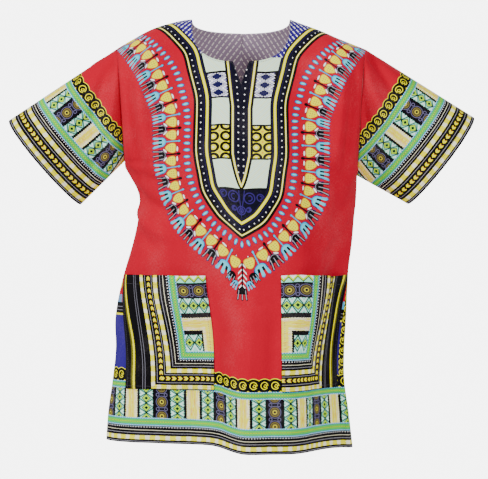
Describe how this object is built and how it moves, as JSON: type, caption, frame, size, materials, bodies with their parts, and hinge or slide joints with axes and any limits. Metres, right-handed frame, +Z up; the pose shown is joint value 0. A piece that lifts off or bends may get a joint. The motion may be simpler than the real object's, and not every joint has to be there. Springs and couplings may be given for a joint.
{
  "type": "dashiki shirt",
  "caption": "Loose pull-over shirt of printed cotton with a slit neck, short wide sleeves and patch pockets, in the hollow form of a worn one.",
  "frame": {"origin": "middle of the neck opening, level with where the neck meets the shoulder seams: the shirt is held there when it is worn or hung", "axes": "+X to the right as seen from the front, +Y to the back, +Z up, with the hem at -Z"},
  "size_m": [0.834, 0.2938, 0.7682],
  "materials": {
    "front": "printed plain-weave cotton, red ground",
    "back": "printed plain-weave cotton, red ground",
    "sleeve_left": "printed plain-weave cotton, green and black border print",
    "sleeve_right": "printed plain-weave cotton, green and black border print",
    "pocket_left": "printed plain-weave cotton, black, yellow and green bands",
    "pocket_right": "printed plain-weave cotton, black, yellow and green bands"
  },
  "bodies": {
    "root": {"front": "front", "back": "back", "sleeve_left": "sleeve_left", "sleeve_right": "sleeve_right", "pocket_left": "pocket_left", "pocket_right": "pocket_right"}
  },
  "joints": []
}
